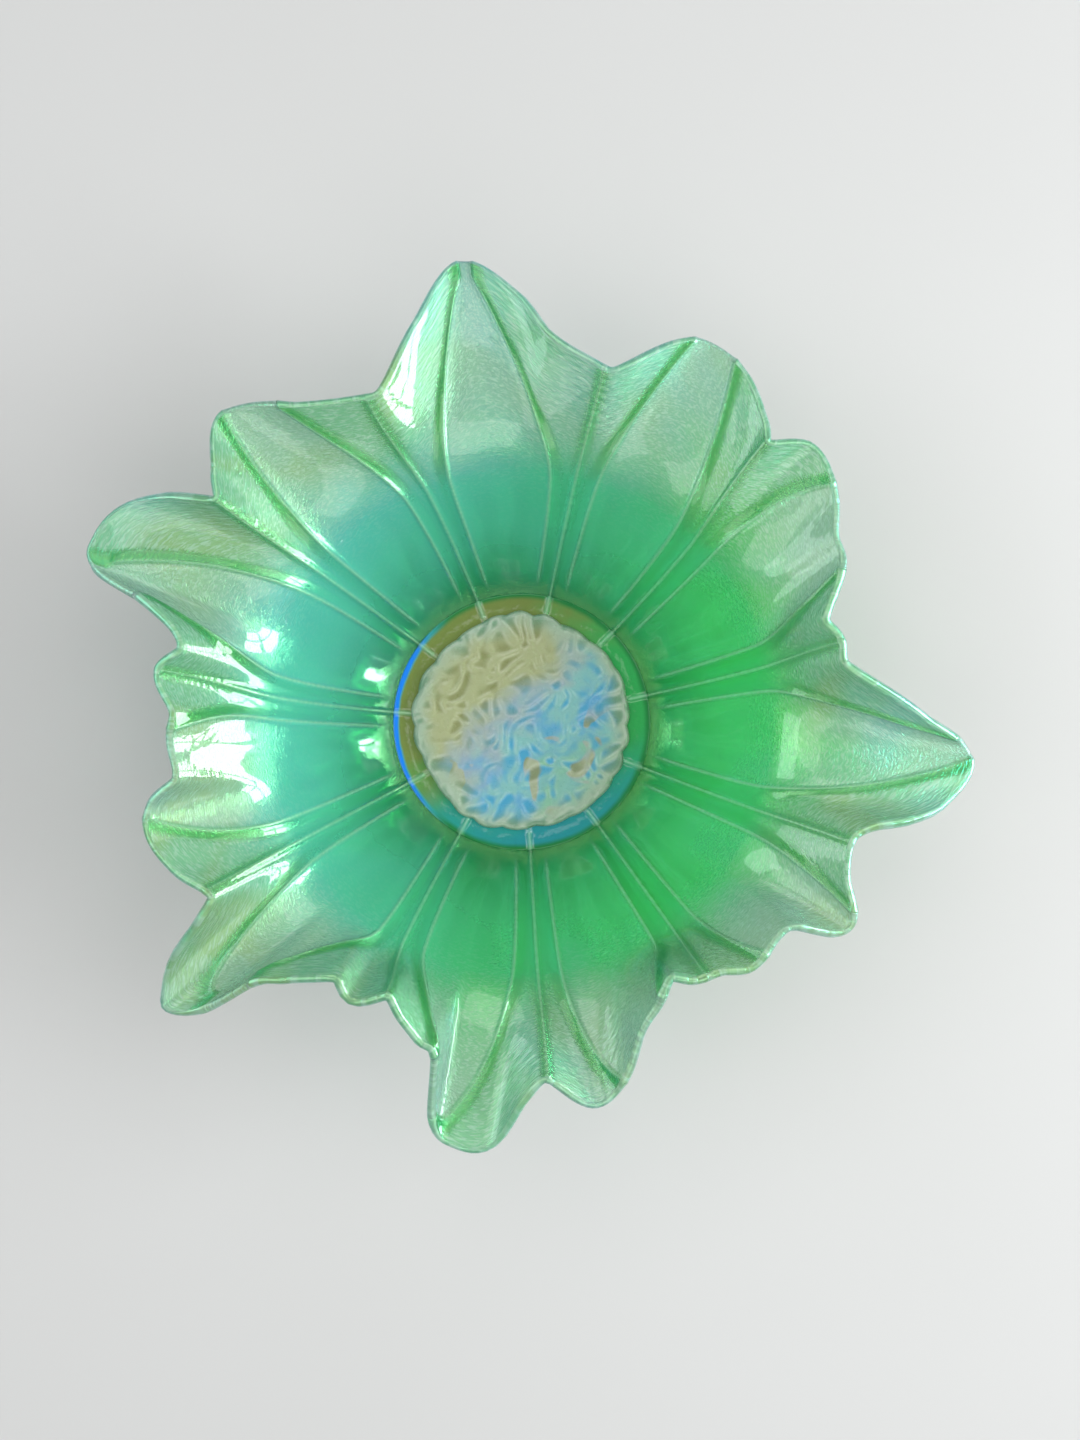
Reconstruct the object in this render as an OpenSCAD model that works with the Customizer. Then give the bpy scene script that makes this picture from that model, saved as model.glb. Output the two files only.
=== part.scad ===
// Flower bowl of pressed and iridised glass. Eleven front petals and eleven back petals rise
// from a round floor on a collar foot, and the rim was pulled and ruffled by hand while hot.
// Millimetres, +Z up. The origin is on the foot's axis, on the surface that the bowl stands on.

/* [Foot and floor] */
// Outside radius of the collar foot
foot_r = 38; // [32:0.5:46]
// Width of the ring that the bowl stands on
foot_w = 5; // [3:0.5:8]
// Height of the foot under the floor
foot_h = 3.5; // [2.5:0.5:8]
// Break on the foot's two bottom edges
foot_break = 0.5; // [0.2:0.1:1]
// How far the floor stands out past the foot before the petals begin
floor_lip = 3; // [2:0.5:8]
// Thickness of the floor and of the petals where they leave it
floor_t = 4.5; // [3:0.5:6]

/* [Flower centre] */
// Width of the plain groove round the flower centre
groove_w = 5; // [3:0.5:8]
// Height of the flower centre above the groove
centre_h = 1.6; // [1:0.1:3]
// Number of scallops round the flower centre
scallops = 22; // [12:1:30]
// Depth of the scallops
scallop_d = 1.2; // [0.4:0.1:2]
// Number of curled stamens on the flower centre
curls = 66; // [20:1:80]
// Radius of one curled stamen, along its middle
curl_r = 2.1; // [1.5:0.1:2.4]
// Radius of the half-round thread that a stamen is made of
thread_r = 0.75; // [0.4:0.05:0.9]

/* [Petals] */
// Turn of the first front petal from +X, in degrees
first_petal = -4.4; // [-16:0.1:16]
// How far the wall runs out from the floor to its shoulder
wall_run = 31; // [24:1:40]
// How far the wall rises from the floor to its shoulder
wall_rise = 34; // [26:1:44]
// Slope of the wall at its shoulder, in degrees
shoulder_slope = 52; // [40:1:60]
// How far the longest petal reaches out past the shoulder
petal_reach = 56.5; // [42:0.5:72]
// How far a rim that didn't reach out at all would rise above the shoulder
flare_rise = 28; // [20:1:36]
// How much lower the longest petal hangs than such a rim
droop = 16; // [8:1:22]
// Thickness of the glass at the rim
rim_t = 2.8; // [2.4:0.1:4.5]
// Height of the ribs that edge the petals
rib_h = 0.9; // [0.4:0.1:1.5]
// Depth of the dished panel in each front petal
dish_d = 1.2; // [0:0.1:2]

/* [Hidden] */

// Front petals, with one back petal between each pair
petals = 11;
// The rim as it was pulled out by hand: the angle of each point, and how far it reaches out
// from the shoulder as a share of petal_reach. A row holds one pulled tip and the dip after it.
rim = [[-4.5, 0.945], [0, 0.69], [9, 0.30], [14.5, 0.285], [19, 0.24],
       [27, 0.445], [31, 0.48], [36, 0.60], [43, 0.665], [48, 0.515], [51, 0.59],
       [58, 0.745], [65, 0.76], [74, 0.465], [78, 0.47],
       [86, 0.60], [90.5, 0.81], [97.5, 1.00], [104, 0.73], [112, 0.43], [117, 0.44],
       [125, 0.565], [134, 0.80], [140, 0.625], [144, 0.525],
       [148, 0.775], [152, 0.945], [157, 1.00], [159.5, 0.95], [161, 0.67], [164, 0.43], [168, 0.355],
       [172, 0.455], [178, 0.355], [183, 0.37], [190, 0.37],
       [193, 0.53], [197, 0.575], [203, 0.51], [210, 0.395],
       [213, 0.565], [215, 0.77], [217, 0.89], [219, 0.955], [221.5, 0.83], [223.5, 0.525],
       [227, 0.375], [230, 0.28], [234.5, 0.185],
       [239, 0.24], [244.5, 0.125], [249, 0.21], [253, 0.29],
       [257, 0.38], [258.5, 0.71], [261, 0.80], [266, 0.79], [270, 0.55], [274.5, 0.42],
       [281.5, 0.595], [286, 0.51], [291, 0.295], [296, 0.19], [301, 0.095],
       [305, 0.18], [310, 0.23], [314, 0.315], [321, 0.305], [324.5, 0.36],
       [327, 0.56], [329, 0.59], [334, 0.455], [339, 0.40],
       [342, 0.415], [344.5, 0.505], [346.5, 0.67], [349, 0.82]];
// How far the hand ruffling turned each petal's middle at the rim, in degrees. Front and back
// petals take turns, and the first is front_petal_01.
twist = [1, 2, 3, 4, 1, -1, 3, 5, 4, 1, 1, -4, -5, 0, -2, 3, 0, 1, 2, 0, 1, 1];
// How much of each front petal's pattern the rim leaves: past 1, its ribs have met inside it
pattern = [1, 0.8, 0.9, 1.05, 0.9, 1.05, 0.78, 1.08, 1.03, 0.8, 0.75];
// Where a petal's mesh has its rows, from the floor at 0 to the rim at 1
rows = [0, 0.03, 0.07, 0.12, 0.2, 0.3, 0.4, 0.5, 0.6, 0.7, 0.8, 0.9, 1];
// Where it has its columns, as shares of its half width. The ribs run along both its edges,
// and along the middle of a back petal.
front_columns = [-1, -0.88, -0.66, -0.42, -0.14, 0.14, 0.42, 0.66, 0.88, 1];
back_columns = [-1, -0.86, -0.62, -0.36, -0.12, 0, 0.12, 0.36, 0.62, 0.86, 1];

half_pitch = 180 / petals;
floor_r = foot_r + floor_lip;
floor_z = foot_h + floor_t;
centre_r = floor_r - groove_w;
shoulder_r = floor_r + wall_run;
shoulder_z = floor_z + wall_rise;
shoulder_s = 0.4;      // share of a petal's length that lies below the shoulder
base_pull = 0.16;      // roundness of the wall above the floor, as a share of wall_run
wall_pull = 0.4;       // roundness of the wall below its shoulder, as a share of wall_run
flare_pull = 0.36;     // roundness of the flare, as a share of its chord
steepest = 66;         // slope of the rim where it doesn't reach out, in degrees
flattest = 4;          // slope of the rim at the longest petal
foot_width = 0.6;      // half width of a front petal at the floor, in half pitches
full_width = 0.68;     // half width of a front petal where it is widest
tip_width = 0.05;      // half width of a front petal where its pattern ends
widest_s = 0.3;        // share of a petal's length where that is
rib_start = 0.14;      // share of a petal's length over which its ribs rise from the floor
rib_loss = 0.4;        // share of their height that the ribs lose by the rim
dish_start = 0.3;      // share of a petal's length over which its panel gets its full dish
dish_loss = 0.6;       // share of its dish that the panel loses by the rim
scallop_sides = 6;     // sides of the outline for each scallop
stub_w = 1.8;          // width of the rib stubs across the groove
stub_h = 0.5;          // height of the rib stubs
golden_turn = 137.508; // turn from one stamen to the next
curl_arc = 250;        // how far round a stamen goes, in degrees
curl_gap = 0.3;        // clear space between the stamens and the flower centre's edge
step = 0.002;          // step for the slopes of the sheet
$fn = 64;

function ease(t) = t <= 0 ? 0 : t >= 1 ? 1 : t * t * (3 - 2 * t);
function mix(a, b, t) = a + (b - a) * t;
function bezier(a, b, c, d, t) =
    pow(1 - t, 3) * a + 3 * t * pow(1 - t, 2) * b + 3 * t * t * (1 - t) * c + pow(t, 3) * d;
function heading(angle) = [cos(angle), sin(angle)];
function wrap(i, n) = (i % n + n) % n;

// The rim's reach at an angle, on a smooth curve through the rim's points
function rim_angle(i) = rim[wrap(i, len(rim))][0] + 360 * floor(i / len(rim));
function rim_share(i) = rim[wrap(i, len(rim))][1];
function rim_slope(i) =
    (rim_share(i + 1) - rim_share(i - 1)) / (rim_angle(i + 1) - rim_angle(i - 1));
function rim_span(a, i = 0) = a < rim_angle(i + 1) ? i : rim_span(a, i + 1);
function hermite(p, m, q, n, t) =
    (2 * pow(t, 3) - 3 * t * t + 1) * p + (pow(t, 3) - 2 * t * t + t) * m
    + (3 * t * t - 2 * pow(t, 3)) * q + (pow(t, 3) - t * t) * n;
function reach_on(a, i, w) =
    hermite(rim_share(i), rim_slope(i) * w, rim_share(i + 1), rim_slope(i + 1) * w,
            (a - rim_angle(i)) / w);
function reach_in(a, i) = reach_on(a, i, rim_angle(i + 1) - rim_angle(i));
function reach_at(a) = reach_in(a, rim_span(a));
function reach(angle) = reach_at(wrap(angle - rim[0][0], 360) + rim[0][0]);

// A place across the flower is counted in half pitches: even at front petals, odd at back ones
function twist_at(p, i) =
    mix(twist[wrap(i, len(twist))], twist[wrap(i + 1, len(twist))], ease(p - i));
function turn(p, s) =
    first_petal + half_pitch * p + twist_at(p, floor(p)) * ease(s);

// The inside of the bowl without its relief: a wall up to the shoulder, then the flare
function wall(t) =
    bezier([floor_r, floor_z], [floor_r + base_pull * wall_run, floor_z],
           [shoulder_r, shoulder_z] - wall_pull * wall_run * heading(shoulder_slope),
           [shoulder_r, shoulder_z], t);
function flare(t, edge, end, pull) =
    bezier([shoulder_r, shoulder_z], [shoulder_r, shoulder_z] + pull * heading(shoulder_slope),
           edge - pull * heading(end), edge, t);
function flare_to(t, k, edge) =
    flare(t, edge, mix(steepest, flattest, k),
          flare_pull * norm(edge - [shoulder_r, shoulder_z]));
function profile(s, k) =
    s <= shoulder_s ? wall(s / shoulder_s)
    : flare_to((s - shoulder_s) / (1 - shoulder_s), k,
               [shoulder_r + petal_reach * k, shoulder_z + flare_rise - droop * k]);
function place(rz, angle) = [rz[0] * cos(angle), rz[0] * sin(angle), rz[1]];
function sheet(s, p) = place(profile(s, reach(turn(p, 1))), turn(p, s));

// The direction out of the inside face. It is straight up where the petals meet the floor.
function unit(v) = v / norm(v);
function outward(s, p) =
    s == 0 ? [0, 0, 1]
    : unit(cross(sheet(s + step, p) - sheet(s - step, p), sheet(s, p + step) - sheet(s, p - step)));

// Half width of a front petal along its pattern, as a lens that is blunt at the floor
function lens(s) =
    s < widest_s ? mix(foot_width, full_width, sin(90 * s / widest_s))
    : mix(tip_width, full_width, cos(90 * (s - widest_s) / (1 - widest_s)));

function half_width(s, k) = lens(min(s * pattern[wrap(k, petals)], 1));
function front_place(s, k, v) = 2 * k + v * half_width(s, k);
function back_place(s, k, v) = 2 * k + 1 + v * (1 - half_width(s, v < 0 ? k : k + 1));

// Relief on the inside face: a rib on each edge, a dished panel or a rib along the middle
function rib(s) = rib_h * ease(s / rib_start) * (1 - rib_loss * s);
function dish(s, v) = dish_d * ease(s / dish_start) * (1 - dish_loss * s) * (1 - v * v);
function front_relief(s, v) = abs(v) == 1 ? rib(s) : -dish(s, v);
function back_relief(s, v) = abs(v) == 1 || v == 0 ? rib(s) : 0;

function inside_point(s, p, relief) = sheet(s, p) + relief * outward(s, p);
function outside_point(s, p) = sheet(s, p) - mix(floor_t, rim_t, s) * outward(s, p);

// A closed shell between an inside and an outside face of n rows by m columns of points
function cell(i, j, m) = i * m + j;
function shell_faces(n, m) = let (under = n * m) [
    for (i = [0 : n - 2], j = [0 : m - 2])
        let (a = cell(i, j, m), b = a + 1, d = a + m, c = d + 1)
            each [[a, b, c], [a, c, d],
                  [under + a, under + c, under + b], [under + a, under + d, under + c]],
    for (i = [0 : n - 2])
        let (a = cell(i, 0, m), b = a + m, c = cell(i, m - 1, m), d = c + m)
            each [[a, b, under + b], [a, under + b, under + a],
                  [c, under + d, d], [c, under + c, under + d]],
    for (j = [0 : m - 2])
        let (a = cell(0, j, m), b = a + 1, c = cell(n - 1, j, m), d = c + 1)
            each [[a, under + a, under + b], [a, under + b, b],
                  [c, under + d, under + c], [c, d, under + d]]];

module front_petal(k) {
    places = [for (s = rows, v = front_columns) [s, front_place(s, k, v), front_relief(s, v)]];
    color("mediumseagreen")
        polyhedron([for (q = places) inside_point(q[0], q[1], q[2]),
                    for (q = places) outside_point(q[0], q[1])],
                   shell_faces(len(rows), len(front_columns)));
}

module back_petal(k) {
    places = [for (s = rows, v = back_columns) [s, back_place(s, k, v), back_relief(s, v)]];
    color("seagreen")
        polyhedron([for (q = places) inside_point(q[0], q[1], q[2]),
                    for (q = places) outside_point(q[0], q[1])],
                   shell_faces(len(rows), len(back_columns)));
}

module foot_ring() {
    color("green")
        rotate_extrude()
            polygon([[foot_r - foot_w, foot_break], [foot_r - foot_w + foot_break, 0],
                     [foot_r - foot_break, 0], [foot_r, foot_break],
                     [foot_r, foot_h], [foot_r - foot_w, foot_h]]);
}

// The floor's edge has a corner at each point where a petal's mesh begins, so that they meet
module bowl_floor() {
    edge = [for (k = [0 : petals - 1])
        each concat([for (v = front_columns) if (v < 1) front_place(0, k, v)],
                    [for (v = back_columns) if (v < 1) back_place(0, k, v)])];
    color("forestgreen") {
        translate([0, 0, foot_h])
            linear_extrude(floor_t)
                polygon([for (p = edge) floor_r * heading(turn(p, 0))]);
        for (k = [0 : petals - 1])
            rotate(turn(2 * k + 1, 0))
                translate([centre_r, -stub_w / 2, floor_z - stub_h])
                    cube([groove_w - stub_h, stub_w, 2 * stub_h]);
    }
}

module flower_centre() {
    color("darkkhaki")
        translate([0, 0, floor_z])
            linear_extrude(centre_h)
                polygon([for (i = [0 : scallops * scallop_sides - 1])
                    let (a = 360 * i / (scallops * scallop_sides))
                        (centre_r - scallop_d * pow(sin(a * scallops / 2), 2)) * heading(a)]);
}

// One stamen is a half-round thread bent into an open ring
module curl() {
    rotate_extrude(angle = curl_arc)
        translate([curl_r, 0])
            intersection() {
                circle(thread_r);
                translate([-thread_r, 0])
                    square([2 * thread_r, thread_r]);
            }
}

module stamen_curls() {
    ring_r = centre_r - scallop_d - curl_r - thread_r - curl_gap;
    color("mediumaquamarine")
        for (i = [0 : curls - 1])
            rotate(i * golden_turn)
                translate([ring_r * sqrt((i + 0.5) / curls), 0, floor_z + centre_h])
                    rotate(i * golden_turn / 2)
                        curl();
}

foot_ring();
bowl_floor();
flower_centre();
stamen_curls();
front_petal(0);  // front_petal_01
front_petal(1);  // front_petal_02
front_petal(2);  // front_petal_03
front_petal(3);  // front_petal_04
front_petal(4);  // front_petal_05
front_petal(5);  // front_petal_06
front_petal(6);  // front_petal_07
front_petal(7);  // front_petal_08
front_petal(8);  // front_petal_09
front_petal(9);  // front_petal_10
front_petal(10);  // front_petal_11
back_petal(0);  // back_petal_01
back_petal(1);  // back_petal_02
back_petal(2);  // back_petal_03
back_petal(3);  // back_petal_04
back_petal(4);  // back_petal_05
back_petal(5);  // back_petal_06
back_petal(6);  // back_petal_07
back_petal(7);  // back_petal_08
back_petal(8);  // back_petal_09
back_petal(9);  // back_petal_10
back_petal(10);  // back_petal_11
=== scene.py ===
"""The looks of the flower bowl: pressed green glass under a pearly iridescent film.

Every petal is one closed shell of glass, cut from a common curved sheet, so neighbours meet face
to face along the ribs. The sheet follows the same rules as the CAD model, in metres.
"""
import math

import bpy
import numpy as np
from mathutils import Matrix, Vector


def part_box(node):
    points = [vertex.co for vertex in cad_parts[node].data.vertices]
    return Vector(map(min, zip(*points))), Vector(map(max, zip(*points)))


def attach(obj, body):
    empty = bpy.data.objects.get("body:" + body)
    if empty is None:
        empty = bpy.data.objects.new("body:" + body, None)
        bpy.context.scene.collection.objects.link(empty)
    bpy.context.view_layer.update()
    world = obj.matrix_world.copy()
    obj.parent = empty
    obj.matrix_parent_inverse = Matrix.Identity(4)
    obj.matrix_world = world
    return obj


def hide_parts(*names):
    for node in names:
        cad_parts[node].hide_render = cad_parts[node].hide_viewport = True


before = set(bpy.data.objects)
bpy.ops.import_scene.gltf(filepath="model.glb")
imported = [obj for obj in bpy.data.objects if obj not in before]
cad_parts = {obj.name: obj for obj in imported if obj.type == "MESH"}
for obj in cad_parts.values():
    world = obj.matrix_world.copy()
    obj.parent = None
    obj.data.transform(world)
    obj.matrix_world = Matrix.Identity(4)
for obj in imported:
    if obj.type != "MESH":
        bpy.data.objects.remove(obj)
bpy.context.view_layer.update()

MM = 0.001
PETALS = 11
HALF_PITCH = 180 / PETALS

# ---------------------------------------------------------------- sizes that come from the frame
foot_low, foot_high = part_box("foot_ring")
floor_low, floor_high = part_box("bowl_floor")
centre_low, centre_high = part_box("flower_centre")
curls_low, curls_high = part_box("stamen_curls")
FOOT_R = foot_high.x
FOOT_TOP = foot_high.z
FLOOR_Z = centre_low.z
FLOOR_UNDER = floor_low.z
CENTRE_R = centre_high.x
CENTRE_TOP = centre_high.z
CURLS_TOP = curls_high.z

# ------------------------------------------------------- the sheet, by the CAD model's own rules
FIRST_PETAL, FLOOR_R = -4.4, 41 * MM
WALL_RUN, WALL_RISE, BASE_PULL, WALL_PULL = 31 * MM, 34 * MM, 0.16, 0.4
SHOULDER_SLOPE, SHOULDER_S = 52, 0.4
PETAL_REACH, FLARE_RISE, DROOP, FLARE_PULL = 56.5 * MM, 28 * MM, 16 * MM, 0.36
STEEPEST, FLATTEST = 66, 4
BASE_T, RIM_T = 4.5 * MM, 2.8 * MM
SHOULDER = np.array([FLOOR_R + WALL_RUN, FLOOR_Z + WALL_RISE])

# The hand-pulled rim: angle in degrees, and reach past the shoulder as a share of PETAL_REACH.
# A row holds one pulled tip and the dip after it.
RIM = np.array(
    [(-4.5, 0.945), (0, 0.69), (9, 0.30), (14.5, 0.285), (19, 0.24)]
    + [(27, 0.445), (31, 0.48), (36, 0.60), (43, 0.665), (48, 0.515), (51, 0.59)]
    + [(58, 0.745), (65, 0.76), (74, 0.465), (78, 0.47)]
    + [(86, 0.60), (90.5, 0.81), (97.5, 1.00), (104, 0.73), (112, 0.43), (117, 0.44)]
    + [(125, 0.565), (134, 0.80), (140, 0.625), (144, 0.525)]
    + [(148, 0.775), (152, 0.945), (157, 1.00), (159.5, 0.95), (161, 0.67), (164, 0.43), (168, 0.355)]
    + [(172, 0.455), (178, 0.355), (183, 0.37), (190, 0.37)]
    + [(193, 0.53), (197, 0.575), (203, 0.51), (210, 0.395)]
    + [(213, 0.565), (215, 0.77), (217, 0.89), (219, 0.955), (221.5, 0.83), (223.5, 0.525)]
    + [(227, 0.375), (230, 0.28), (234.5, 0.185)]
    + [(239, 0.24), (244.5, 0.125), (249, 0.21), (253, 0.29)]
    + [(257, 0.38), (258.5, 0.71), (261, 0.80), (266, 0.79), (270, 0.55), (274.5, 0.42)]
    + [(281.5, 0.595), (286, 0.51), (291, 0.295), (296, 0.19), (301, 0.095)]
    + [(305, 0.18), (310, 0.23), (314, 0.315), (321, 0.305), (324.5, 0.36)]
    + [(327, 0.56), (329, 0.59), (334, 0.455), (339, 0.40)]
    + [(342, 0.415), (344.5, 0.505), (346.5, 0.67), (349, 0.82)]
)
# How far the ruffling turned each petal's middle at the rim, front and back petals by turns
TWIST = np.array([1, 2, 3, 4, 1, -1, 3, 5, 4, 1, 1, -4, -5, 0, -2, 3, 0, 1, 2, 0, 1, 1], float)


def ease(t):
    t = np.clip(t, 0, 1)
    return t * t * (3 - 2 * t)


def mix(a, b, t):
    return a + (b - a) * t


def bezier(a, b, c, d, t):
    t = np.asarray(t)[..., None]
    return (1 - t) ** 3 * a + 3 * t * (1 - t) ** 2 * b + 3 * t * t * (1 - t) * c + t**3 * d


def heading(degrees):
    a = np.radians(degrees)
    return np.stack([np.cos(a), np.sin(a)], axis=-1)


def reach(angle):
    """How far the rim stands out at an angle, on a smooth curve through RIM."""
    n = len(RIM)
    turns = np.array([-360, 0, 360])
    knots = (RIM[:, 0] + turns[:, None]).ravel()
    shares = np.tile(RIM[:, 1], 3)
    slopes = np.zeros(3 * n)
    slopes[1:-1] = (shares[2:] - shares[:-2]) / (knots[2:] - knots[:-2])
    a = (np.asarray(angle, float) - RIM[0, 0]) % 360 + RIM[0, 0]
    i = np.searchsorted(knots, a, side="right") - 1
    w = knots[i + 1] - knots[i]
    t = (a - knots[i]) / w
    return (
        (2 * t**3 - 3 * t**2 + 1) * shares[i]
        + (t**3 - 2 * t**2 + t) * slopes[i] * w
        + (3 * t**2 - 2 * t**3) * shares[i + 1]
        + (t**3 - t**2) * slopes[i + 1] * w
    )


def turn(p, s):
    """The angle of a place across the flower, counted in half pitches, at a share s of its length."""
    i = np.floor(p).astype(int)
    twist = mix(TWIST[i % len(TWIST)], TWIST[(i + 1) % len(TWIST)], ease(p - i))
    return FIRST_PETAL + HALF_PITCH * p + twist * ease(s)


def profile(s, k):
    """Radius and height along a petal whose rim has reach k: the wall, then the flare."""
    edge = np.stack([SHOULDER[0] + PETAL_REACH * k, SHOULDER[1] + FLARE_RISE - DROOP * k], -1)
    start = heading(SHOULDER_SLOPE)
    wall = bezier(
        np.array([FLOOR_R, FLOOR_Z]),
        np.array([FLOOR_R + BASE_PULL * WALL_RUN, FLOOR_Z]),
        SHOULDER - WALL_PULL * WALL_RUN * start,
        SHOULDER,
        s / SHOULDER_S,
    )
    pull = FLARE_PULL * np.linalg.norm(edge - SHOULDER, axis=-1)[..., None]
    end = heading(mix(STEEPEST, FLATTEST, k))
    flare = bezier(
        SHOULDER, SHOULDER + pull * start, edge - pull * end, edge, (s - SHOULDER_S) / (1 - SHOULDER_S)
    )
    return np.where((s <= SHOULDER_S)[..., None], wall, flare)


def sheet(s, p):
    """The point of the sheet at a share s of the length and p half pitches round the flower."""
    s, p = np.broadcast_arrays(s, p)
    rz = profile(s, reach(turn(p, np.ones_like(s))))
    a = np.radians(turn(p, s))
    return np.stack([rz[..., 0] * np.cos(a), rz[..., 0] * np.sin(a), rz[..., 1]], -1)


def unit(v):
    return v / np.linalg.norm(v, axis=-1, keepdims=True)


def slopes_at(s, p, step=0.002):
    """The sheet's direction along a petal, its pace across per half pitch, and its inner normal."""
    along = sheet(s + step, p) - sheet(s - step, p)
    across = sheet(s, p + step) - sheet(s, p - step)
    normal = unit(np.cross(along, across))
    # At the floor's edge the normal is straight up, so the wall meets the floor without a gap
    start = ease(s / 0.02)[..., None]
    normal = unit(mix(np.array([0.0, 0.0, 1.0]), normal, start))
    return unit(along), across / (2 * step), normal


# ------------------------------------------------------------------------- relief of the glass
FOOT_WIDTH, FULL_WIDTH, TIP_WIDTH, WIDEST_S = 0.6, 0.68, 0.05, 0.3
# A front petal stands proud of the back ones: a bead runs along its edge, then a flank goes down
STEP, FLANK = 0.8 * MM, 3.4 * MM
BEAD_H, BEAD_W = 0.45 * MM, 0.65 * MM
# Two rows of beads on each other: beads to a petal's length, and their share of the rib's height
FINE_BEADS, FINE_BEAD, BIG_BEADS, BIG_BEAD = 74, 0.16, 31, 0.08
VEIN_H, VEIN_W = 0.8 * MM, 0.9 * MM
# The glass was drawn thinner at the rim, so the relief lost this share of its height there
RIM_LOSS = 0.55
DISH = 1.3 * MM
# Faint rings that the tools left while the rim was pulled, and the glass's own waviness
RING_H, RINGS = 0.02 * MM, 24
WAVE_H, WAVE_SIZE = 0.10 * MM, 0.02
# How far the painted shade, a deeper green where light passes steeply through the glass, reaches beside
# the ribs
FRONT_BAND, EDGE_BAND, VEIN_BAND = 0.6 * MM, 3.0 * MM, 2.1 * MM
# Width of the painted highlight along the ribs' crests, and how much of it the mid ribs have
HIGHLIGHT_W, VEIN_HIGHLIGHT = 0.5 * MM, 0.8
# How much of each front petal's pattern the rim leaves: past 1, its ribs have met
PATTERN = [1.0, 0.8, 0.9, 1.05, 0.9, 1.05, 0.78, 1.08, 1.03, 0.8, 0.75]


def lens(s, k):
    """Half width of front petal k along its length, in half pitches."""
    s = np.minimum(s * PATTERN[k % PETALS], 1)
    below = np.clip(s / WIDEST_S, 0, 1)
    above = np.clip((s - WIDEST_S) / (1 - WIDEST_S), 0, 1)
    low = mix(FOOT_WIDTH, FULL_WIDTH, np.sin(np.pi / 2 * below))
    high = mix(TIP_WIDTH, FULL_WIDTH, np.cos(np.pi / 2 * above))
    return np.where(s < WIDEST_S, low, high)


def ripple(x, y, z, seed, size, waves=24):
    """Smooth random relief between about -1 and 1, with features of the given size in metres."""
    rng = np.random.default_rng(seed)
    total = np.zeros(np.shape(x))
    for _ in range(waves):
        d = rng.normal(size=3)
        d *= 2 * np.pi / size * rng.uniform(0.7, 1.3) / np.linalg.norm(d)
        total += np.cos(d[0] * x + d[1] * y + d[2] * z + rng.uniform(0, 2 * np.pi))
    return total / math.sqrt(waves / 2) / 1.5


def hump(distance, width):
    """1 on a middle line, falling off smoothly to both sides."""
    return np.exp(-((distance / width) ** 2))


def beads(s, seed):
    """The uneven row of beads along a rib, as a small share more or less than its height."""
    fine = FINE_BEAD * np.sin(2 * np.pi * s * FINE_BEADS + seed)
    return fine + BIG_BEAD * np.sin(2 * np.pi * s * BIG_BEADS + 2.3 * seed)


def bead(distance, s, seed, height, width):
    """A fine ridge of small beads, as a height over its middle line."""
    return height * (1 + beads(s, seed)) * hump(distance, width)


def crest_highlight(distance, s, seed):
    """A painted highlight along a rib's back, more on its beads than between them."""
    return (0.75 + beads(s, seed)) * hump(distance, HIGHLIGHT_W)


def rib_end(s, k):
    """Front petal k's edge ribs, which rise from the floor and end just before they would meet."""
    return ease((s - 0.02) / 0.12) * ease((1.03 - s * PATTERN[k % PETALS]) / 0.1)


def side_end(s, v, k):
    """The same for back petal k, whose two sides lie along front petals k and k + 1."""
    return np.where(v < 0, rib_end(s, k), rib_end(s, k + 1))


def front_relief(s, v, k, distance, seed):
    """A dished panel with a round end at the floor, inside a beaded edge."""
    dish = DISH * (1 - 0.6 * v**2 - 0.4 * v**6) * ease((s - 0.05 - 0.05 * v**2) / 0.12) * (1 - 0.5 * s)
    edge = (STEP + bead(distance, s, seed, BEAD_H, BEAD_W)) * rib_end(s, k)
    return edge * (1 - RIM_LOSS * s) - dish


def back_relief(s, v, k, distance, vein_distance, seed):
    """The flank under each front petal's edge, and the vein along the middle."""
    edge = STEP * (1 - ease(distance / FLANK)) + bead(distance, s, seed, BEAD_H, BEAD_W)
    vein = bead(vein_distance, s, seed + 0.8, VEIN_H, VEIN_W)
    return (edge * side_end(s, v, k) + vein) * (1 - RIM_LOSS * s)


# ------------------------------------------------------------------------------ mesh building
def make_piece(name, points, faces, seams, floats, material, nodes):
    """A closed mesh piece that stands for CAD nodes. seams are the faces inside the casting."""
    mesh = bpy.data.meshes.new(name)
    mesh.from_pydata(points.reshape(-1, 3), [], faces + seams)
    inside = np.arange(len(faces) + len(seams)) >= len(faces)
    mesh.polygons.foreach_set("use_smooth", ~inside)
    mesh.polygons.foreach_set("material_index", inside.astype(np.int32))
    for key, values in floats.items():
        layer = mesh.attributes.new(key, "FLOAT", "POINT")
        layer.data.foreach_set("value", np.asarray(values, np.float32).ravel())
    mesh.materials.append(material)
    if seams:
        mesh.materials.append(SEAM)
    mesh.update()
    piece = bpy.data.objects.new(name, mesh)
    bpy.context.scene.collection.objects.link(piece)
    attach(piece, "root")
    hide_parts(*nodes)


def grid_faces(rows, columns, closed=False):
    """Quads of a grid of points, facing out where rows run outwards and columns turn left."""
    spans = columns if closed else columns - 1
    i, j = np.meshgrid(np.arange(rows - 1), np.arange(spans), indexing="ij")
    k = (j + 1) % columns
    here, above = i * columns, (i + 1) * columns
    return np.stack([here + j, above + j, above + k, here + k], -1).reshape(-1, 4).tolist()


# ----------------------------------------------------------------------------------- materials
GLASS_IOR, COAT_IOR = 1.52, 1.6
# The film's thickness in nanometres, and its own index
FILM_NM, FILM_IOR = 360, 1.9
# How deep the stretch marks, the groove's unevenness and the threads' skin look
GRAIN_H, GROOVE_H, SKIN_H = 0.45 * MM, 0.6 * MM, 0.15 * MM


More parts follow.
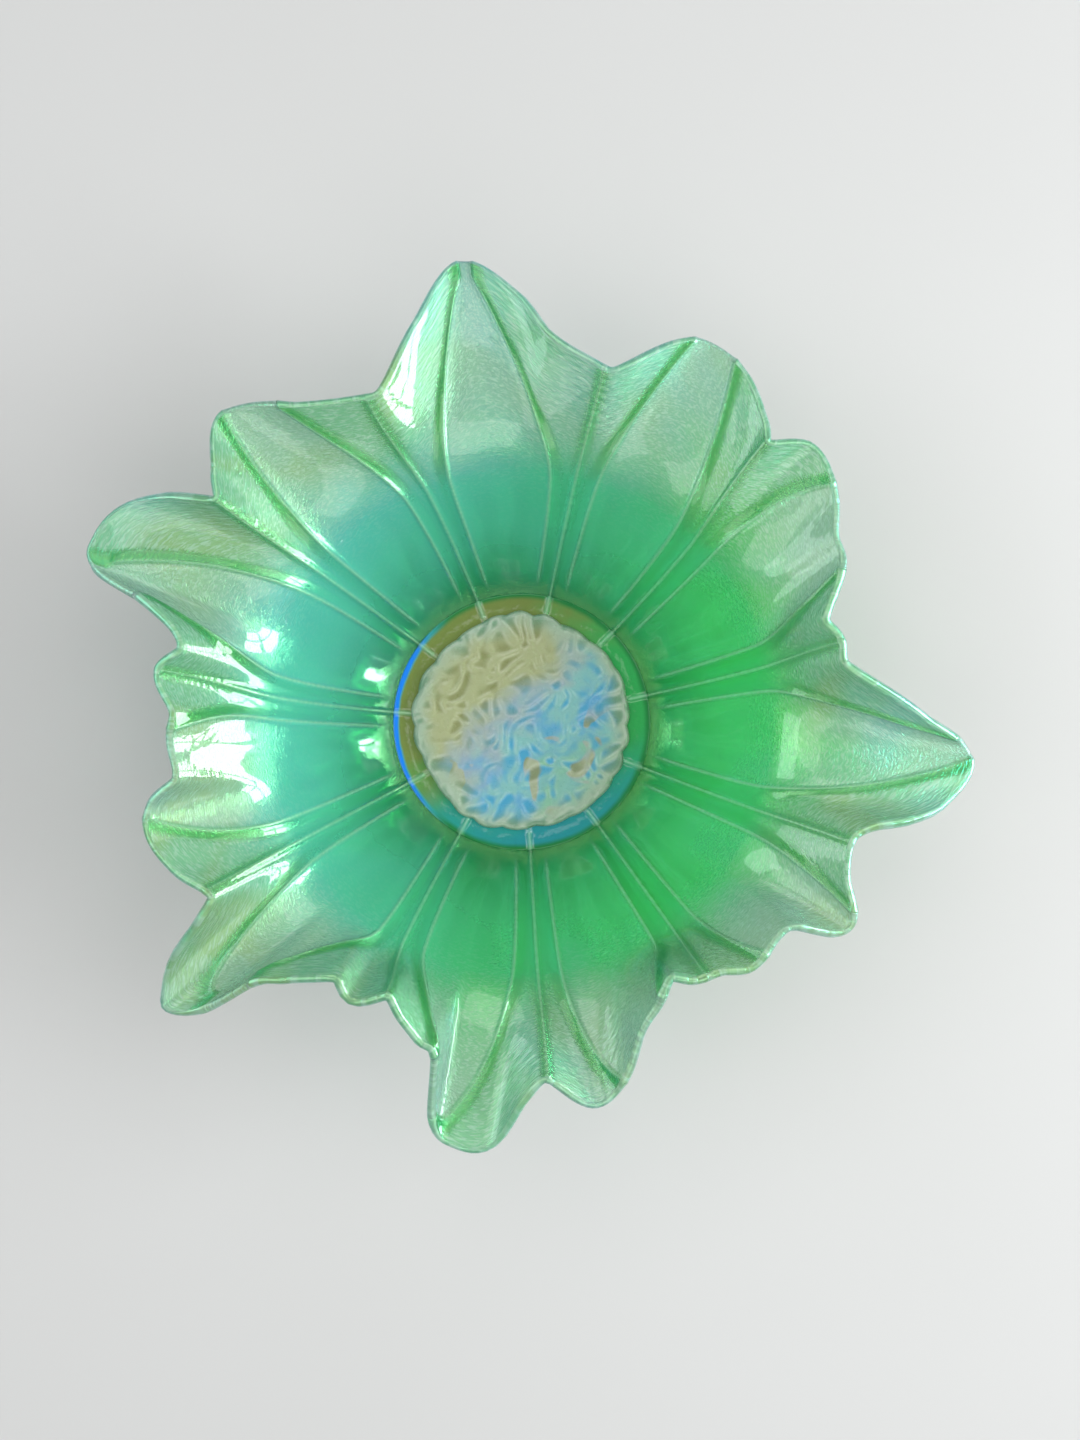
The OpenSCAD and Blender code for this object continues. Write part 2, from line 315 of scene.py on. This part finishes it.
def rgb(r, g, b):
    """A colour given as it looks on screen, 0 to 255, made linear."""
    return tuple(
        (c / 255 / 12.92 if c <= 10 else ((c / 255 + 0.055) / 1.055) ** 2.4) for c in (r, g, b)
    ) + (1.0,)


# The petals' film: deep, middle and pale green, the pale partly a painted pearly sheen, then the
# painted reflection on its left side, its clouds and the painted sheen on its stretch marks
FRONT_GREENS = rgb(24, 156, 58), rgb(88, 228, 112), rgb(172, 216, 188)
BACK_GREENS = rgb(20, 150, 52), rgb(72, 224, 92), rgb(146, 214, 168)
DEEP_REFLECTED_TEAL, REFLECTED_TURQUOISE = rgb(8, 132, 104), rgb(108, 210, 206)
GOLD_CLOUD, BLUE_CLOUD, STRETCH_MARK_SHEEN = rgb(182, 200, 116), rgb(140, 206, 220), rgb(204, 240, 222)
# Painted shade along the ribs' flanks, and a painted highlight along their crests
FLANK_SHADE_GREEN, PAINTED_CREST_HIGHLIGHT = rgb(20, 168, 66), rgb(200, 250, 216)
# The groove's colours, its outer edge with a painted blue highlight, and the painted highlight on the
# ribs' stubs
GROOVE_GREEN, GROOVE_OLIVE, GROOVE_TEAL = rgb(44, 170, 84), rgb(120, 138, 66), rgb(30, 150, 158)
EDGE_GREEN, PAINTED_GLINT_PALE, PAINTED_GLINT_BLUE = rgb(18, 128, 58), rgb(60, 190, 220), rgb(10, 134, 250)
PAINTED_STUB_HIGHLIGHT = rgb(150, 214, 170)
# The flower centre's threads, and the painted shade in the hollows between them
THREAD_TEAL, THREAD_BLUE, THREAD_GREEN = rgb(132, 186, 184), rgb(98, 164, 204), rgb(140, 190, 150)
THREAD_GOLD, THREAD_LILAC, THREAD_EDGE = rgb(170, 174, 130), rgb(172, 172, 190), rgb(164, 184, 160)
HOLLOW_SHADE_BLUE, HOLLOW_SHADE_GOLD, HOLLOW_SHADE_EDGE = rgb(74, 160, 196), rgb(138, 142, 92), rgb(112, 150, 120)
STAGE_COLOURS = rgb(196, 195, 192), rgb(202, 201, 199)


class Tree:
    """Short calls for building a material's node tree."""

    def __init__(self, name):
        self.material = bpy.data.materials.new(name)
        self.material.use_nodes = True
        self.nodes = self.material.node_tree.nodes
        self.links = self.material.node_tree.links
        self.nodes.clear()
        self.shader = self.nodes.new("ShaderNodeBsdfPrincipled")
        self.output = self.nodes.new("ShaderNodeOutputMaterial")
        self.links.new(self.shader.outputs[0], self.output.inputs["Surface"])

    def put(self, value, socket):
        """Feed a socket from another node, or set it to a fixed value."""
        if isinstance(value, bpy.types.NodeSocket):
            self.links.new(value, socket)
        else:
            socket.default_value = value

    def attribute(self, name):
        node = self.nodes.new("ShaderNodeAttribute")
        node.attribute_name = name
        return node.outputs["Fac"]

    def place(self):
        return self.nodes.new("ShaderNodeTexCoord").outputs["Object"]

    def axes(self):
        """X and Y of the shaded point, in metres from the bowl's axis."""
        node = self.nodes.new("ShaderNodeSeparateXYZ")
        self.links.new(self.place(), node.inputs[0])
        return node.outputs["X"], node.outputs["Y"]

    def noise(self, scale, detail=3, roughness=0.5, distortion=0, vector=None):
        node = self.nodes.new("ShaderNodeTexNoise")
        self.put(vector or self.place(), node.inputs["Vector"])
        node.inputs["Scale"].default_value = scale
        node.inputs["Detail"].default_value = detail
        node.inputs["Roughness"].default_value = roughness
        node.inputs["Distortion"].default_value = distortion
        return node.outputs["Fac"]

    def math(self, kind, a, b=0.0, c=0.0):
        node = self.nodes.new("ShaderNodeMath")
        node.operation = kind
        for value, socket in zip((a, b, c), node.inputs):
            self.put(value, socket)
        return node.outputs[0]

    def square(self, value):
        return self.math("MULTIPLY", value, value)

    def fit(self, value, low, high, to_low=0.0, to_high=1.0):
        """A smooth step from to_low to to_high while the value goes from low to high."""
        node = self.nodes.new("ShaderNodeMapRange")
        node.interpolation_type = "SMOOTHSTEP"
        for v, socket in zip((value, low, high, to_low, to_high), node.inputs):
            self.put(v, socket)
        return node.outputs[0]

    def blend(self, a, b, share):
        node = self.nodes.new("ShaderNodeMix")
        node.data_type = "RGBA"
        self.put(share, node.inputs[0])
        self.put(a, node.inputs[6])
        self.put(b, node.inputs[7])
        return node.outputs[2]

    def combine(self, x, y, z):
        node = self.nodes.new("ShaderNodeCombineXYZ")
        for v, socket in zip((x, y, z), node.inputs):
            self.put(v, socket)
        return node.outputs[0]

    def bump(self, height, distance):
        node = self.nodes.new("ShaderNodeBump")
        node.inputs["Distance"].default_value = distance
        self.put(height, node.inputs["Height"])
        return node.outputs[0]

    def finish(self, colour, roughness, normal, coat, coat_roughness):
        """Glass of this colour and surface, under a polished coat."""
        inputs = self.shader.inputs
        self.put(colour, inputs["Base Color"])
        self.put(roughness, inputs["Roughness"])
        self.put(normal, inputs["Normal"])
        self.put(coat, inputs["Coat Weight"])
        inputs["IOR"].default_value = GLASS_IOR
        inputs["Coat IOR"].default_value = COAT_IOR
        inputs["Coat Roughness"].default_value = coat_roughness


def film_colour(t, along, hairs, deep, body, pale):
    """The film's colour over the glass: deep where it is thick, and pale towards the rim as a painted
    pearly sheen.
    """
    x, y = t.axes()
    cloud = t.noise(24, detail=4, distortion=0.4)
    # Painted reflection: the film is bluer towards the left of the bowl, where the wall mirrors the lit
    # room
    side = t.math("MULTIPLY_ADD", x, -7, t.math("MULTIPLY", y, 2.5))
    side = t.fit(t.math("MULTIPLY_ADD", cloud, 0.5, side), -0.25, 0.95)
    colour = t.blend(body, REFLECTED_TURQUOISE, side)
    deep = t.blend(deep, DEEP_REFLECTED_TEAL, side)
    colour = t.blend(deep, colour, t.fit(t.math("MULTIPLY_ADD", cloud, 0.12, along), 0.04, 0.34))
    # Painted sheen: the glass pales towards the rim, for the pearly sheen it shows there
    rim = t.fit(t.math("MULTIPLY_ADD", cloud, 0.35, along), 0.55, 1.05)
    colour = t.blend(colour, pale, rim)
    # Clouds of gold and of blue, where the film is thinner or thicker
    gold = t.fit(t.noise(19, detail=2, distortion=0.7), 0.48, 0.64)
    gold = t.math("MULTIPLY", gold, t.fit(along, 0.4, 0.75, 0.0, 0.5))
    colour = t.blend(colour, GOLD_CLOUD, gold)
    blue = t.fit(t.noise(15, detail=2, distortion=1.0), 0.50, 0.70)
    blue = t.math("MULTIPLY", blue, t.fit(along, 0.3, 0.8, 0.1, 0.45))
    colour = t.blend(colour, BLUE_CLOUD, blue)
    # The stretch marks are real, but their pale colour is a painted sheen
    mark_sheen = t.math("MULTIPLY", t.fit(hairs, 0.47, 0.62), t.fit(along, 0.25, 0.8, 0.03, 0.65))
    colour = t.blend(colour, STRETCH_MARK_SHEEN, mark_sheen)
    # Painted shade: a deeper green over the ribs' flanks, where light passes a long way through the
    # glass
    flank_shade = t.math("MULTIPLY", t.attribute("flank_shade"), t.fit(along, 0.3, 0.7, 0.15, 0.95))
    colour = t.blend(colour, FLANK_SHADE_GREEN, flank_shade)
    # and a painted highlight runs along their beaded crests
    return t.blend(colour, PAINTED_CREST_HIGHLIGHT, t.math("MULTIPLY", t.attribute("crest_highlight"), 0.75))


def glass(name, deep, body, pale):
    """A petal's green glass, which lets some light through, under its pearly film."""
    t = Tree(name)
    along = t.attribute("along")
    # Hair-like marks in the film, drawn out round the bowl
    round_bowl = t.math("MULTIPLY", t.attribute("across"), 9)
    stretched = t.combine(t.math("MULTIPLY", along, 150), round_bowl, 0.0)
    hairs = t.noise(1, detail=2.5, roughness=0.6, distortion=0.6, vector=stretched)
    mottle = t.noise(160, detail=3)
    # The glass is polished, but for its stretch marks
    dull = t.math("MULTIPLY", t.fit(hairs, 0.4, 0.75), t.fit(along, 0.25, 0.75, 0.02, 0.16))
    rough = t.math("MULTIPLY_ADD", mottle, 0.03, t.math("ADD", dull, 0.07))
    # They are strong on the pulled rim and where the wall bends up from the floor, faint between
    pulled = t.fit(along, 0.25, 0.75, 0.05, 1.0)
    marked = t.math("MAXIMUM", pulled, t.fit(along, 0.02, 0.12, 1.0, 0.0))
    grain = t.math("MULTIPLY", t.math("MULTIPLY_ADD", mottle, 0.25, hairs), marked)
    colour = film_colour(t, along, hairs, deep, body, pale)
    t.finish(colour, rough, t.bump(grain, GRAIN_H), t.fit(along, 0.03, 0.12, 0.1, 0.85), 0.03)
    t.shader.inputs["Specular IOR Level"].default_value = 0.5
    t.shader.inputs["Transmission Weight"].default_value = 0.55
    t.shader.inputs["Thin Film Thickness"].default_value = FILM_NM
    t.shader.inputs["Thin Film IOR"].default_value = FILM_IOR
    return t.material


def base_glass():
    """The floor's groove and the foot: olive towards the upper left, teal towards the bottom and green
    between, round the centre.
    """
    t = Tree("base_glass")
    x, y = t.axes()
    lean = t.math("MULTIPLY_ADD", x, -12, t.math("MULTIPLY", y, 12))
    lean = t.math("MULTIPLY_ADD", t.noise(60, detail=3, distortion=0.8), 0.7, lean)
    low = t.math("MULTIPLY_ADD", y, -14, t.math("MULTIPLY", t.noise(40, detail=2), 0.6))
    colour = t.blend(GROOVE_GREEN, GROOVE_OLIVE, t.fit(lean, 0.2, 0.8))
    colour = t.blend(colour, GROOVE_TEAL, t.fit(low, 0.45, 0.85))
    # The groove's outer edge takes on the green of the wall
    radius = t.math("SQRT", t.math("ADD", t.square(x), t.square(y)))
    radius = t.math("MULTIPLY_ADD", t.noise(90, detail=2), 1.2 * MM, radius)
    colour = t.blend(colour, EDGE_GREEN, t.fit(radius, 39.2 * MM, 41.2 * MM))
    # and a painted blue highlight lies on its left side, where the foot of the wall mirrors the light
    left = t.fit(x, -22 * MM, -37 * MM)
    edge = t.math("MULTIPLY", t.fit(radius, 39.4 * MM, 40.7 * MM), left)
    painted_glint = t.blend(PAINTED_GLINT_PALE, PAINTED_GLINT_BLUE, t.fit(edge, 0.3, 0.9))
    colour = t.blend(colour, painted_glint, edge)
    # Painted highlight: the ribs' stubs are paled where they cross the groove
    colour = t.blend(colour, PAINTED_STUB_HIGHLIGHT, t.math("MULTIPLY", t.attribute("stub"), 0.5))
    rough = t.math("MULTIPLY_ADD", t.noise(220, detail=3), 0.12, 0.06)
    t.finish(colour, rough, t.bump(t.noise(170, detail=3), GROOVE_H), 0.5, 0.04)
    return t.material


def centre_glass():
    """The flower centre's film: gold on one side, going over to light blue on the other."""
    t = Tree("centre_glass")
    x, y = t.axes()
    # Gold lies round the upper left of the centre, blue in its middle and lower right
    lean = t.math("MULTIPLY_ADD", y, 16, t.math("MULTIPLY", x, -20))
    lean = t.math("MULTIPLY_ADD", t.noise(55, detail=3, distortion=0.8), 0.9, lean)
    patches = t.fit(t.noise(75, detail=2, distortion=0.6), 0.60, 0.65)
    patches = t.math("MULTIPLY", patches, t.fit(y, 6 * MM, -2 * MM))
    gold = t.math("MAXIMUM", t.fit(lean, 0.28, 0.80), t.math("MULTIPLY", patches, 0.9))
    blue = t.blend(THREAD_TEAL, THREAD_BLUE, t.fit(t.noise(90, detail=3), 0.42, 0.62))
    blue = t.blend(blue, THREAD_GREEN, t.fit(t.noise(45, detail=2), 0.5, 0.7))
    colour = t.blend(blue, THREAD_GOLD, gold)
    # Where they meet, the film passes through a pale lilac
    between = t.math("MULTIPLY", gold, t.math("SUBTRACT", 1.0, gold))
    colour = t.blend(colour, THREAD_LILAC, t.math("MULTIPLY", between, 1.5))
    edge = t.fit(t.math("MULTIPLY_ADD", t.noise(70, detail=3), 0.3, t.attribute("out")), 0.92, 1.12)
    colour = t.blend(colour, THREAD_EDGE, edge)
    # Painted shade: the hollows between the threads are deeper in colour
    hollow = t.blend(HOLLOW_SHADE_BLUE, HOLLOW_SHADE_GOLD, gold)
    hollow = t.blend(hollow, HOLLOW_SHADE_EDGE, edge)
    colour = t.blend(hollow, colour, t.fit(t.attribute("relief"), 0.0, 0.7))
    rough = t.math("MULTIPLY_ADD", t.noise(300, detail=2), 0.15, 0.2)
    t.finish(colour, rough, t.bump(t.noise(420, detail=3), SKIN_H), 0.4, 0.1)
    return t.material


def seam_glass():
    """The faces inside the casting where two petals meet, which can't be seen in the real glass."""
    t = Tree("seam_glass")
    clear = t.nodes.new("ShaderNodeBsdfTransparent")
    # None of the principled shader shows, but the tree keeps one like the other materials
    share = t.nodes.new("ShaderNodeMixShader")
    share.inputs[0].default_value = 0.0
    t.links.new(clear.outputs[0], share.inputs[1])
    t.links.new(t.shader.outputs[0], share.inputs[2])
    t.links.new(share.outputs[0], t.output.inputs["Surface"])
    return t.material


SEAM = seam_glass()
FRONT_GLASS = glass("front_petal_glass", *FRONT_GREENS)
BACK_GLASS = glass("back_petal_glass", *BACK_GREENS)
BASE_GLASS = base_glass()
CENTRE_GLASS = centre_glass()

# --------------------------------------------------------------------------------- the petals
ROWS, EDGE_STEPS, HALF_COLUMNS = 150, 8, 25
# The last share of a petal's length, on which the way to its rim is measured for the rounding
LAST = 0.02


def columns(front):
    """Places across a petal, -1 to 1, closer together where its relief is finer."""
    half = np.linspace(0, 1, HALF_COLUMNS)
    half = mix(half, ease(half), 0.0 if front else 0.7)
    half = mix(half, np.sin(np.pi / 2 * half), 0.8 if front else 0.0)
    return np.concatenate([-half[::-1], half[1:]])[None, :]


def petal_surface(s, p, v, k, front, arc, edge_distance):
    """A petal's relief, its painted shade along the ribs' flanks, and its painted highlight along the
    ribs' crests.
    """
    seed = 1.7 * k
    if front:
        relief = front_relief(s, v, k, edge_distance, seed)
        return relief, hump(edge_distance, FRONT_BAND), crest_highlight(edge_distance, s, seed) * rib_end(s, k)
    vein_distance = np.abs(p - (2 * k + 1)) * arc
    relief = back_relief(s, v, k, edge_distance, vein_distance, seed)
    flank_shade = np.maximum(1 - ease(edge_distance / EDGE_BAND - 0.7), hump(vein_distance, VEIN_BAND))
    edge_highlight = crest_highlight(edge_distance, s, seed) * side_end(s, v, k)
    return relief, flank_shade, np.maximum(edge_highlight, VEIN_HIGHLIGHT * crest_highlight(vein_distance, s, seed))


def shell(inside, outside, along):
    """The points of a petal, over its inside, round the rim and back under its outside."""
    centre = (inside[-1] + outside[-1]) / 2
    radius = (inside[-1] - outside[-1]) / 2
    out = along[-1] * np.linalg.norm(radius, axis=-1, keepdims=True)
    angles = np.linspace(0, np.pi, EDGE_STEPS + 2)[1:-1]
    rim = [centre + np.cos(a) * radius + np.sin(a) * out for a in angles]
    return np.concatenate([inside, np.stack(rim), outside[::-1]])


def inner_walls(m, n):
    """Faces that close a shell of m rows and n columns along both sides and at the floor."""
    walls = []
    last = n - 1
    for i in range(m // 2 - 1):
        a, b = i * n, (i + 1) * n
        c, d = (m - 2 - i) * n, (m - 1 - i) * n
        walls.append([a, d, c, b])
        walls.append([a + last, b + last, c + last, d + last])
    for j in range(n - 1):
        walls.append([j, j + 1, (m - 1) * n + j + 1, (m - 1) * n + j])
    return walls


def petal(k, front):
    """Front or back petal k, as a closed shell of glass."""
    v = columns(front)
    middle = 2 * k if front else 2 * k + 1

    def across_at(s):
        if front:
            return middle + v * lens(s, k)
        return middle + v * (1 - np.where(v < 0, lens(s, k), lens(s, k + 1)))

    # The rim is round, so the faces stop half the glass short of it
    tip = np.ones(v.shape)
    near = tip - LAST
    run = np.linalg.norm(sheet(tip, across_at(tip)) - sheet(near, across_at(near)), axis=-1)
    s = np.linspace(0, 1, ROWS)[:, None] * (1 - LAST * (RIM_T / 2) / run)
    p = across_at(s)
    base = sheet(s, p)
    along, across, normal = slopes_at(s, p)
    arc = np.linalg.norm(across, axis=-1)
    edge_distance = np.abs(p - np.where(v < 0, p[:, :1], p[:, -1:])) * arc
    relief, flank_shade, ridge = petal_surface(s, p, v, k, front, arc, edge_distance)

    x, y, z = base[..., 0], base[..., 1], base[..., 2]
    rings = np.sin(2 * np.pi * (s * RINGS + 1.3 * ripple(x, y, z, 5, 0.02)))
    relief += RING_H * rings * ease((s - 0.5) / 0.4) * (1 + ripple(x, y, z, 6, 0.03))
    relief += WAVE_H * ripple(x, y, z, 11, WAVE_SIZE) * ease(s / 0.2)

    inside = base + relief[..., None] * normal
    outside = base - mix(BASE_T, RIM_T, s)[..., None] * normal
    points = shell(inside, outside, along)
    m, n = points.shape[:2]
    plain = np.zeros((EDGE_STEPS + ROWS, n))
    floats = {
        "along": np.concatenate([s, np.ones((EDGE_STEPS, n)), s[::-1]]),
        "across": np.broadcast_to(middle + v, (m, n)),
        "flank_shade": np.concatenate([flank_shade, plain]),
        "crest_highlight": np.concatenate([ridge, plain]),
    }
    kind = "front" if front else "back"
    slot, cad = f"{kind}_petal_glass", f"{kind}_petal_{k + 1:02d}"
    material = FRONT_GLASS if front else BACK_GLASS
    name = f"{slot}_{k + 1:02d}"
    make_piece(name, points, grid_faces(m, n), inner_walls(m, n), floats, material, [cad])


for k in range(PETALS):
    petal(k, True)
    petal(k, False)


# -------------------------------------------------------------------- the floor and the foot
# Width of the ribs' stubs, depth of the groove's hollow, and the foot's width and rounding
STUB_W, HOLLOW = 0.7 * MM, 0.25 * MM
FOOT_W, ROUND = 5 * MM, 0.9 * MM
# The floor's outline starts and ends this far from the axis, and flat caps close it there
AXIS_R = 2 * MM


def stub_share(r, angle, z):
    """The stubs of the back petals' ribs, which run over the groove to the flower centre."""
    off = (angle - FIRST_PETAL) % (2 * HALF_PITCH) - HALF_PITCH
    top = z > (FLOOR_Z + FLOOR_UNDER) / 2
    reach_in = ease((r - CENTRE_R + 1.5 * MM) / (1.0 * MM))
    return hump(np.radians(off) * r, STUB_W) * reach_in * top


def turned(name, outline, steps, stubs, nodes):
    """A closed turned piece from an outline of (radius, height), its solid on the right of the path."""
    angles = np.linspace(0, 2 * np.pi, steps, endpoint=False)
    r, z = np.array(outline).T
    heights = np.repeat(z[:, None], steps, 1)
    points = np.stack([np.outer(r, np.cos(angles)), np.outer(r, np.sin(angles)), heights], -1)
    stub = np.zeros(points.shape[:2])
    if stubs:
        stub = stub_share(r[:, None], np.degrees(angles)[None, :], z[:, None])
        points[..., 2] += VEIN_H * stub
    m = len(r)
    faces = grid_faces(m, steps, closed=True)
    if outline[0] == outline[-1]:
        points, stub = points[:-1], stub[:-1]
        faces = [[q % ((m - 1) * steps) for q in face] for face in faces]
    else:
        faces += [list(range(steps)), [(m - 1) * steps + j for j in reversed(range(steps))]]
    make_piece(name, points, faces, [], {"stub": stub}, BASE_GLASS, nodes)


def arc_points(cx, cz, r, start, end, steps=7):
    a = np.radians(np.linspace(start, end, steps))
    return [(cx + r * math.cos(b), cz + r * math.sin(b)) for b in a]


groove = [
    (FLOOR_R - t * (FLOOR_R - CENTRE_R + 1 * MM), FLOOR_Z - HOLLOW * math.sin(math.pi * t) ** 2)
    for t in np.linspace(0, 1, 14)
]
floor_outline = (
    [(AXIS_R, FLOOR_Z - 0.2 * MM)]
    + groove[::-1]
    + [(FLOOR_R, FLOOR_UNDER)]
    + [(FOOT_R * f, FLOOR_UNDER) for f in (0.9, 0.5)]
    + [(AXIS_R, FLOOR_UNDER)]
)
turned("bowl_floor_glass", floor_outline, 660, True, ["bowl_floor"])

foot_inner = FOOT_R - FOOT_W
foot_outline = (
    [(foot_inner, FOOT_TOP), (FOOT_R, FOOT_TOP)]
    + arc_points(FOOT_R - ROUND, ROUND, ROUND, 0, -90)
    + arc_points(foot_inner + ROUND, ROUND, ROUND, -90, -180)
    + [(foot_inner, FOOT_TOP)]
)
turned("foot_ring_glass", foot_outline, 240, False, ["foot_ring"])


# ------------------------------------------------------------------------ the flower centre
# Height of its second edge, and how far that lies in from the first
LIP_H, LIP_IN = 0.25 * MM, 1.3 * MM


def centre_edge(angle):
    """Radius of the flower centre's edge: two gentle scallops to a petal, no two quite alike."""
    a = np.radians(angle)
    scallop = np.abs(np.sin(PETALS * a + 0.5 * np.sin(3 * a + 1)))
    uneven = 0.55 + 0.3 * np.cos(4 * a + 0.8) + 0.15 * np.cos(7 * a + 2.1)
    drift = 0.5 * MM * np.cos(5 * a + 4)
    return CENTRE_R - 2.0 * MM + 1.4 * MM * uneven * scallop + drift


def threads(x, y):
    """Curled threads, 0 in the hollows between them and 1 along their backs."""
    z = np.zeros_like(x)
    bend_x = 1.8 * MM * ripple(x, y, z, 21, 0.012)
    bend_y = 1.8 * MM * ripple(x, y, z, 22, 0.012)
    field = ripple(x + bend_x, y + bend_y, z, 23, 0.0066, waves=40)
    fine = ripple(x, y, z, 24, 0.0045, waves=40)
    back = 1 - np.abs(np.tanh(field)) ** 1.5
    return np.clip(0.85 * back + 0.14 * fine, 0, 1)


def flower_centre():
    """The whole flower centre: its disc, its second edge and the curled threads on it."""
    rings, steps = 120, 480
    angles = np.linspace(0, 360, steps, endpoint=False)
    share = np.linspace(0.003, 1, rings)
    edge = centre_edge(angles)
    r = share[:, None] * edge[None, :]
    x, y = r * np.cos(np.radians(angles)), r * np.sin(np.radians(angles))
    thread = threads(x, y)
    inset = edge[None, :] - r
    rounding = np.sqrt(np.clip(1 - (1 - np.clip(inset / (1.1 * MM), 0, 1)) ** 2, 0, 1))
    body = CENTRE_TOP - FLOOR_Z
    # A thin second edge runs inside the first, like a skin of glass that was pressed out
    lip = LIP_H * ease((inset - LIP_IN) / (0.5 * MM))
    curl = (CURLS_TOP - CENTRE_TOP - LIP_H) * thread * ease(inset / LIP_IN)
    height = body * rounding + lip + curl
    top = np.stack([x, y, FLOOR_Z - 0.1 * MM + height], -1)
    under = top[::-1][[0, -1]].copy()
    under[..., 2] = FLOOR_Z - 0.4 * MM
    points = np.concatenate([top, under])
    m = len(points)
    faces = grid_faces(m, steps, closed=True)
    faces.append([(m - 1) * steps + j for j in reversed(range(steps))])
    faces.append(list(range(steps)))
    relief = np.concatenate([thread, np.zeros((2, steps))])
    out = np.concatenate([np.broadcast_to(share[:, None], thread.shape), np.ones((2, steps))])
    floats = {"relief": relief, "out": out}
    nodes = ["flower_centre", "stamen_curls"]
    make_piece("flower_centre_glass", points, faces, [], floats, CENTRE_GLASS, nodes)


flower_centre()


# -------------------------------------------------------------------- floor, lights and camera
STAGE_SIZE = 30.0
# Four soft boxes overhead, in a ring
OVERHEAD_TURNS, OVERHEAD_R, OVERHEAD_Z, OVERHEAD_W = (20, 110, 200, 290), 1.15, 1.5, 7.0
# A window at the right, whose four panes shine as bright patches in the glass
PANE_X, PANE_COLUMNS, PANE_ROWS, PANE_W = 1.25, (-0.27, 0.21), (0.30, 0.68), 6.0
WINDOW_LIGHT, LEFT_LIGHT = (0.93, 0.97, 1.0), (0.85, 0.93, 1.0)
LEFT_W = 6.0
ROOM_LIGHT, ROOM_STRENGTH = (0.80, 0.82, 0.84, 1), 0.3
# A phone's main camera: its focal length in pixels, the frame's height, and where it was held
FOCAL_PX, FRAME_H = 1040, 1440
CAMERA_PLACE = (0.0058, 0.0006, 0.34)


def stage_floor():
    z = foot_low.z
    corners = [(x * STAGE_SIZE, y * STAGE_SIZE, z) for x, y in ((-1, -1), (1, -1), (1, 1), (-1, 1))]
    mesh = bpy.data.meshes.new("stage_floor")
    mesh.from_pydata(corners, [], [(0, 1, 2, 3)])
    t = Tree("stage_pale")
    t.put(t.blend(*STAGE_COLOURS, t.noise(3)), t.shader.inputs["Base Color"])
    t.shader.inputs["Roughness"].default_value = 0.6
    mesh.materials.append(t.material)
    stage = bpy.data.objects.new("stage_floor", mesh)
    bpy.context.scene.collection.objects.link(stage)


def softbox(name, place, target, size, power, colour=(1, 1, 1)):
    lamp = bpy.data.lights.new(name, "AREA")
    lamp.shape = "RECTANGLE"
    lamp.size, lamp.size_y = size
    lamp.energy = power
    lamp.color = colour
    box = bpy.data.objects.new(name, lamp)
    box.location = place
    box.rotation_euler = (Vector(target) - Vector(place)).to_track_quat("-Z", "Y").to_euler()
    bpy.context.scene.collection.objects.link(box)


stage_floor()
for turn_to in OVERHEAD_TURNS:
    a = math.radians(turn_to)
    place = (OVERHEAD_R * math.cos(a), OVERHEAD_R * math.sin(a), OVERHEAD_Z)
    softbox(f"overhead_{turn_to}", place, (0, 0, 0), (1.3, 1.1), OVERHEAD_W)
for row in PANE_ROWS:
    for column in PANE_COLUMNS:
        place = (PANE_X, column, row)
        softbox(f"window_{row}_{column}", place, (0, 0, 0.05), (0.42, 0.32), PANE_W, WINDOW_LIGHT)
softbox("left_fill", (-1.4, 0.2, 0.8), (0, 0, 0), (1.0, 0.7), LEFT_W, LEFT_LIGHT)

world = bpy.data.worlds.new("studio")
world.use_nodes = True
background = world.node_tree.nodes["Background"]
background.inputs["Color"].default_value = ROOM_LIGHT
background.inputs["Strength"].default_value = ROOM_STRENGTH
bpy.context.scene.world = world

camera = bpy.data.cameras.new("camera")
camera.sensor_fit = "VERTICAL"
camera.angle = 2 * math.atan(FRAME_H / 2 / FOCAL_PX)
camera.clip_start = 0.01
eye = bpy.data.objects.new("camera", camera)
eye.location = CAMERA_PLACE
bpy.context.scene.collection.objects.link(eye)
bpy.context.scene.camera = eye
bpy.context.scene.view_settings.view_transform = "Standard"
